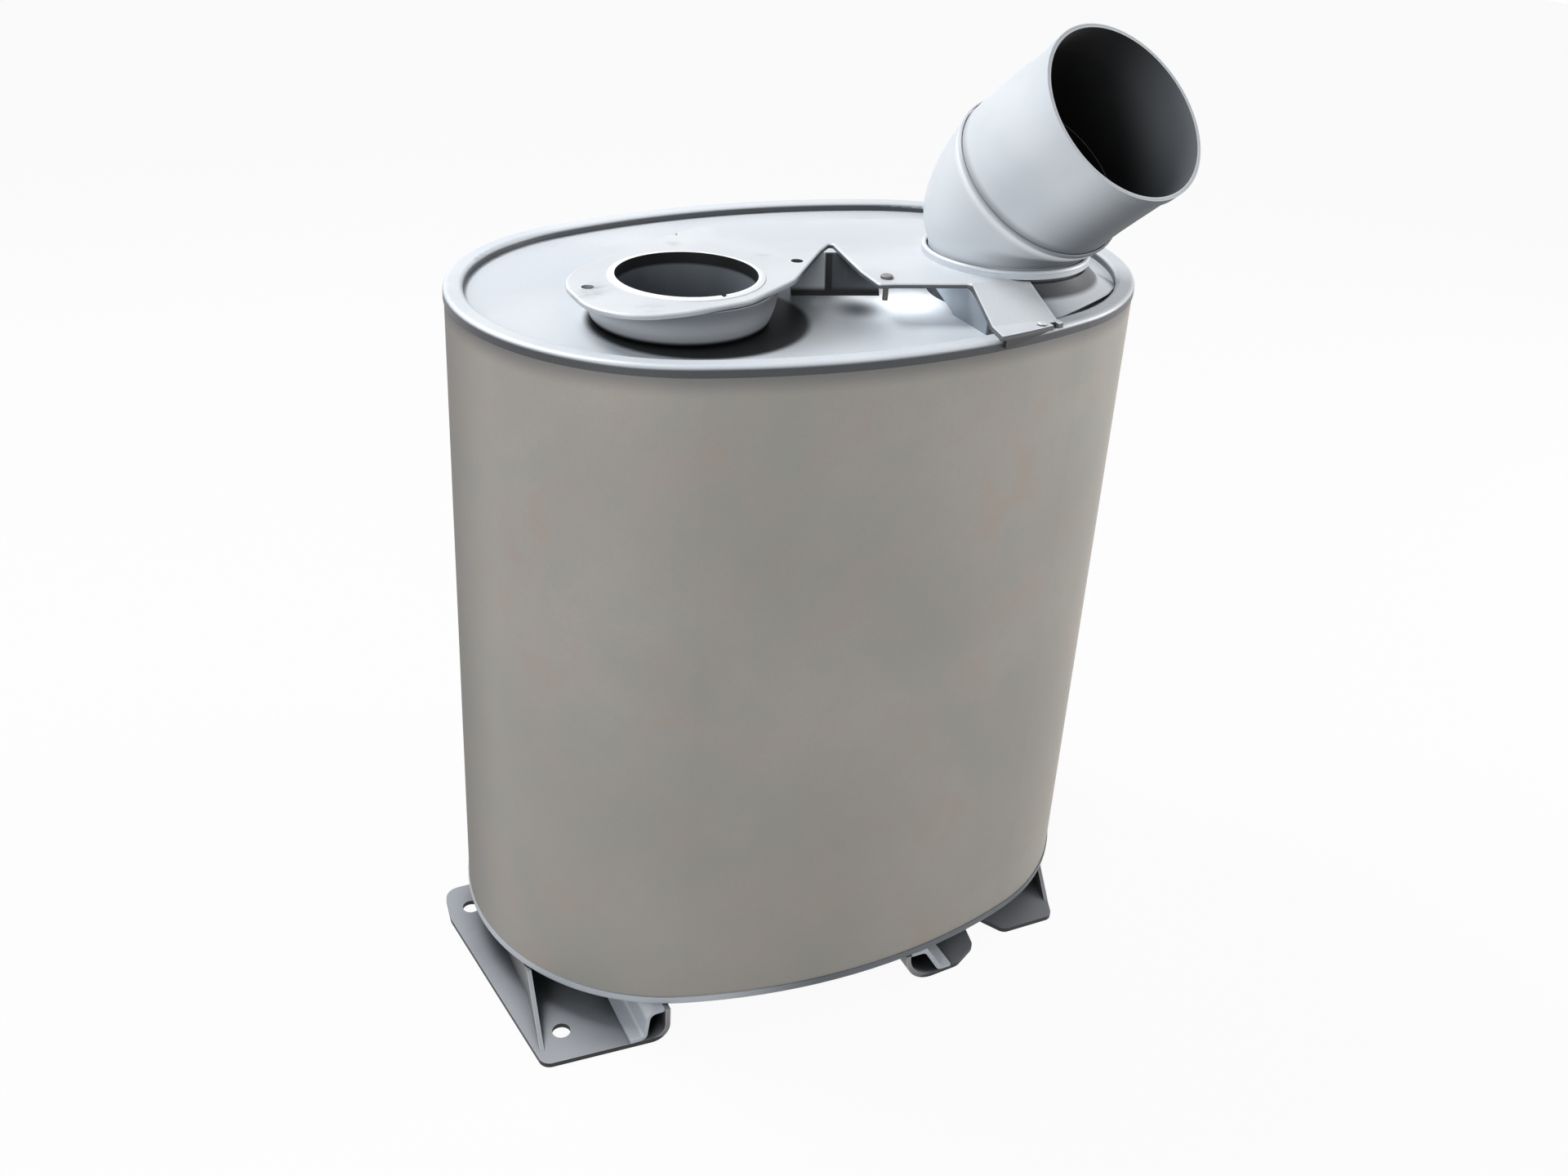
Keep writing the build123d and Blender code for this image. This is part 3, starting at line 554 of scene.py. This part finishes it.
def foot_sheet():
    """Bluish grey feet with the right one painted darker as shade: near black cut edges, streaked
    walls, painted light on flat faces, painted highlights along rounded edges and painted shade in
    corners.
    """
    finish = Finish("foot_sheet", metallic=0.15, specular=0.4)
    x, _, height = finish.axes()
    streaks = finish.noise(70.0, 3.0, 0.6, 0.3, (1.0, 1.0, 0.25))
    clouds = finish.noise(18.0, 3.0, 0.5)
    cut_edge = finish.band(height, FOOT_SHEET + 0.0006, FOOT_SHEET - 0.0004)
    level = finish.band(upward(finish), 0.3, 0.8)
    rounded = edge_mask(finish, 0.002) * (1 - cut_edge)
    right_foot = finish.band(x, RIGHT_FOOT_START, RIGHT_FOOT_DARK)
    # Painted light on flat faces, a painted highlight along rounded edges and painted shade over
    # the right foot
    color = finish.wash(
        finish.blend(streaks, shade(112, 112, 113), shade(150, 149, 150)),
        (cut_edge, shade(40, 42, 46)),
        (level, finish.blend(clouds, shade(150, 154, 160), shade(166, 170, 176))),
        (rounded * 0.5, shade(206, 209, 213)),
        (right_foot * 0.45, shade(52, 54, 58)),
    )
    finish.feed("Base Color", painted_crevice_shade(finish, color, reach=0.045, open_share=0.85))
    finish.feed("Roughness", 0.42 + clouds * 0.1)
    return finish.material


def brace_strip():
    """Light bent strip with slightly darker flanks from painted shade."""
    finish = Finish("brace_strip", metallic=0.1, specular=0.4)
    clouds = finish.noise(40.0, 3.0, 0.5)
    # Painted shade on the upright flanks
    painted_flank_shade = 1 - finish.band(upward(finish), 0.05, 0.4)
    color = finish.blend(clouds, shade(196, 201, 208), shade(214, 218, 223))
    finish.feed("Base Color", finish.blend(painted_flank_shade, color, shade(176, 182, 190)))
    finish.feed("Roughness", 0.4 + clouds * 0.1)
    return finish.material


def elbow_tube(name, spot, lean):
    """Smooth pale tube with painted shade on its lower right, in its creases and past its seam, a
    painted highlight before the seam, and a dark inside of carbon and painted shade with painted
    light on the mouth's right inner wall.
    """
    finish = Finish(name, specular=0.35)
    smudges = finish.noise(8.0, 3.0, 0.5, 0.4)
    grain = finish.noise(600.0, 2.0, 0.5)
    dirt = finish.noise(35.0, 4.0, 0.6, 0.5)
    # Painted shade on the lower right
    painted_lee_shade = facing_share(finish, ELBOW_LEE, -0.15, 0.70)
    seam = past_seam(finish)
    low_side = finish.band(finish.axes()[2], SEAM_SHADE_TOP, SEAM_SHADE_LOW)
    # The seam's soft ridge: a painted highlight before its plane and painted shade past it
    painted_ridge_highlight = finish.band(seam, -0.0085, -0.0035) * finish.band(seam, -0.0005, -0.0025)
    painted_ridge_shade = finish.band(seam, -0.0005, 0.0015) * finish.band(seam, 0.009, 0.003)
    cloudy = finish.band(smudges, 0.35, 0.7)
    paint = finish.blend(cloudy, shade(196, 202, 208), shade(208, 213, 218))
    outside = finish.wash(
        paint,
        (painted_lee_shade * 0.90, shade(84, 88, 92)),
        (painted_ridge_highlight * 0.6, shade(240, 243, 246)),
        (painted_ridge_shade * (0.2 + low_side * 0.35), shade(92, 97, 103)),
    )
    outside = painted_crevice_shade(finish, outside, reach=0.006, open_share=0.45, soot_and_shade=shade(110, 115, 121))
    # Painted light on the mouth's right inner wall
    painted_mouth_light = finish.below(finish.vectors("DISTANCE", finish.place, PAINTED_LIGHT_MOUTH_SPOT), 0.055, 0.06)
    # The dark inside: carbon and painted shade
    soot_and_shade = finish.blend(dirt, shade(22, 22, 23), shade(36, 37, 39))
    soot_and_shade = finish.blend(painted_mouth_light * 0.8, soot_and_shade, shade(120, 125, 130))
    inside = inside_mask(finish, spot, elbow_axis(lean))
    finish.feed("Base Color", finish.blend(inside, outside, soot_and_shade))
    finish.feed("Roughness", 0.34 + smudges * 0.08 + (inside * 0.3).most(painted_lee_shade * 0.35))
    finish.bump(grain, strength=0.04, distance=0.0002)
    return finish.material


def inlet_tube():
    """Bright lip and outside; the bore has painted shade at its top edge and far down, grey
    between.
    """
    finish = Finish("inlet_tube", metallic=0.2, specular=0.4)
    dirt = finish.noise(30.0, 5.0, 0.6)
    height = finish.axes()[2]
    # Painted shade just below the lip and far down the bore
    top_edge = finish.band(height, PLATE_TOP - 0.009, PLATE_TOP - 0.006)
    deep = 1 - finish.band(height, PLATE_TOP - 0.075, PLATE_TOP - 0.045)
    bore = finish.wash(
        finish.blend(dirt, shade(96, 103, 110), shade(124, 130, 137)),
        (top_edge, shade(14, 15, 17)),
        (deep, shade(16, 17, 19)),
    )
    lip = finish.blend(dirt, shade(236, 239, 242), shade(246, 248, 250))
    inside = inside_mask(finish, INLET_SPOT, UPRIGHT)
    finish.feed("Base Color", finish.blend(inside, lip, bore))
    finish.feed("Roughness", 0.4 + dirt * 0.1 + inside * 0.2)
    return finish.material


def dark_pipe():
    """Sooty inner tubes, baffles, liner and mat."""
    finish = Finish("dark_pipe", metallic=0.3, specular=0.3)
    soot_and_shade = finish.noise(30.0, 5.0, 0.6)
    finish.feed("Base Color", finish.blend(soot_and_shade, shade(40, 42, 45), shade(70, 73, 77)))
    finish.feed("Roughness", 0.55 + soot_and_shade * 0.15)
    return finish.material


def leaning_web():
    """Web behind the valley, painted dark as shade: a painted black shadow at its fold, a painted
    lit strip left of it and a painted black shadow at its foot.
    """
    finish = Finish("leaning_web", metallic=0.2, specular=0.3)
    x, y, height = finish.axes()
    to_right = x * cos(VIEW_TURN) + y * sin(VIEW_TURN)
    rust = finish.noise(60.0, 3.0, 0.5)
    # Dark tone painted as shade, with a painted black shadow at the fold, painted light on the
    # strip left of it and a painted black shadow at the foot
    color = finish.wash(
        finish.blend(rust, shade(40, 42, 45), shade(58, 61, 65)),
        (finish.below(to_right, WEB_FOLD_RIGHT, 0.0012), shade(8, 8, 9)),
        (finish.below(to_right, WEB_FOLD_LEFT, 0.0014), shade(150, 154, 158)),
        (finish.band(height, RECESS_LEVEL + 0.006, RECESS_LEVEL + 0.0025), shade(10, 10, 11)),
    )
    finish.feed("Base Color", color)
    finish.feed("Roughness", 0.5 + rust * 0.1)
    return finish.material


def soft_lamp(name, spot, target, size, power, color=(1, 1, 1), mirrored=True):
    """A rectangular studio lamp that looks at a point; its power is in watts."""
    lamp = bpy.data.lights.new(name, "AREA")
    lamp.shape = "RECTANGLE"
    lamp.size, lamp.size_y = size
    lamp.energy = power
    lamp.color = color
    holder = bpy.data.objects.new(name, lamp)
    holder.visible_glossy = mirrored
    bpy.context.scene.collection.objects.link(holder)
    turn = (Vector(target) - Vector(spot)).to_track_quat("-Z", "Y").to_matrix()
    holder.matrix_world = Matrix.Translation(spot) @ turn.to_4x4()


def studio_lamps():
    """Two side lamps, a top lamp and a tiny one for the light that bounces under the plate."""
    soft_lamp("left_lamp", (-1.9, -1.7, 1.1), (0, 0, 0.32), (0.8, 1.4), 27)
    soft_lamp("right_lamp", (2.3, -0.6, 0.9), (0, 0, 0.3), (0.8, 1.2), 38, WARM_LIGHT)
    soft_lamp("top_lamp", (-0.8, 0.9, 2.2), (0, 0, 0.5), (0.9, 0.7), 40)
    under_plate = (*GAP_SPOT, PLATE_UNDERSIDE - 0.001)
    below = (*GAP_SPOT, RECESS_LEVEL)
    soft_lamp("gap_lamp", under_plate, below, (0.080, 0.030), 0.045, mirrored=False)


def studio_floor():
    """A pale floor that reads white to the camera and keeps a faint shadow."""
    mesh = bpy.data.meshes.new("studio_floor")
    sheet = bmesh.new()
    bmesh.ops.create_grid(sheet, x_segments=1, y_segments=1, size=FLOOR_REACH)
    sheet.to_mesh(mesh)
    sheet.free()
    floor = bpy.data.objects.new("studio_floor", mesh)
    bpy.context.scene.collection.objects.link(floor)
    finish = Finish("studio_floor", roughness=0.9, specular=0.1)
    finish.feed("Base Color", shade(214, 216, 218))
    paint = Signal(finish.tree, finish.shader.outputs[0])
    glow = finish.add("ShaderNodeEmission", inputs={"Color": WHITE, "Strength": 1.0})
    finish.surface("Material Output", finish.white_rays() * FLOOR_WHITE_SHARE, paint, glow)
    mesh.materials.append(finish.material)


def studio_world():
    """Soft grey surroundings that the camera sees as white."""
    world = bpy.data.worlds.new("studio_world")
    world.use_nodes = True
    bpy.context.scene.world = world
    nodes = Nodes(world.node_tree)
    grey = nodes.add(
        "ShaderNodeBackground",
        inputs={"Color": WORLD_TINT, "Strength": WORLD_STRENGTH},
    )
    white = nodes.add("ShaderNodeBackground", inputs={"Color": WHITE, "Strength": 1.0})
    nodes.surface("World Output", nodes.white_rays(), grey, white)


def paint_nodes(names, material):
    """Gives CAD nodes one finish."""
    for name in names:
        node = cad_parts[name]
        node.data.materials.clear()
        node.data.materials.append(material)


bpy.context.scene.view_settings.view_transform = "Standard"
place_camera()
studio_world()
studio_floor()
studio_lamps()

bead_sheet = bright_sheet(
    "base_bead", shade(222, 226, 230), shade(214, 219, 224), shade(190, 196, 203), 0.004, 0.3,
)
# The gusset's bluish grey tones are painted shade under the flap
gusset_sheet = bright_sheet(
    "gusset_sheet", shade(128, 140, 152), shade(112, 124, 136), shade(132, 142, 152), 0.008, 0.5,
)
screw_steel = bright_sheet(
    "screw_steel", shade(150, 150, 152), shade(130, 130, 132), shade(92, 84, 76), 0.004, 0.3,
)
lower_tube = elbow_tube("lower_elbow_tube", ELBOW_FOOT_SPOT, LOWER_ELBOW_LEAN)
upper_tube = elbow_tube("upper_elbow_tube", MOUTH_SPOT, MOUTH_LEAN)

paint_nodes(["outer_shell"], aluminised_shell())
paint_nodes(["top_end_plate"], end_plate_sheet())
paint_nodes(["bottom_end_plate"], bottom_plate_sheet())
paint_nodes(["top_plate", "flap_rivet"], top_plate_sheet())
paint_nodes(["outlet_skirt"], drawn_skirt())
paint_nodes(["inlet_cup"], spun_cup())
paint_nodes(["elbow_base_bead"], bead_sheet)
paint_nodes(["elbow_lower", "elbow_seam_bead"], lower_tube)
paint_nodes(["elbow_upper", "mouth_ring"], upper_tube)
paint_nodes(["inlet_pipe"], inlet_tube())
paint_nodes(["plate_web"], leaning_web())
paint_nodes(["flap_gusset"], gusset_sheet)
paint_nodes(["plate_screw", "screw_nut"], screw_steel)
paint_nodes(["left_foot", "right_foot"], foot_sheet())
paint_nodes(["left_foot_brace", "right_foot_brace"], brace_strip())
paint_nodes(
    [
        "outlet_tube", "short_crossover_tube", "long_crossover_tube", "inner_liner",
        "lower_baffle", "middle_baffle", "upper_baffle", "insulation_mat",
    ],
    dark_pipe(),
)
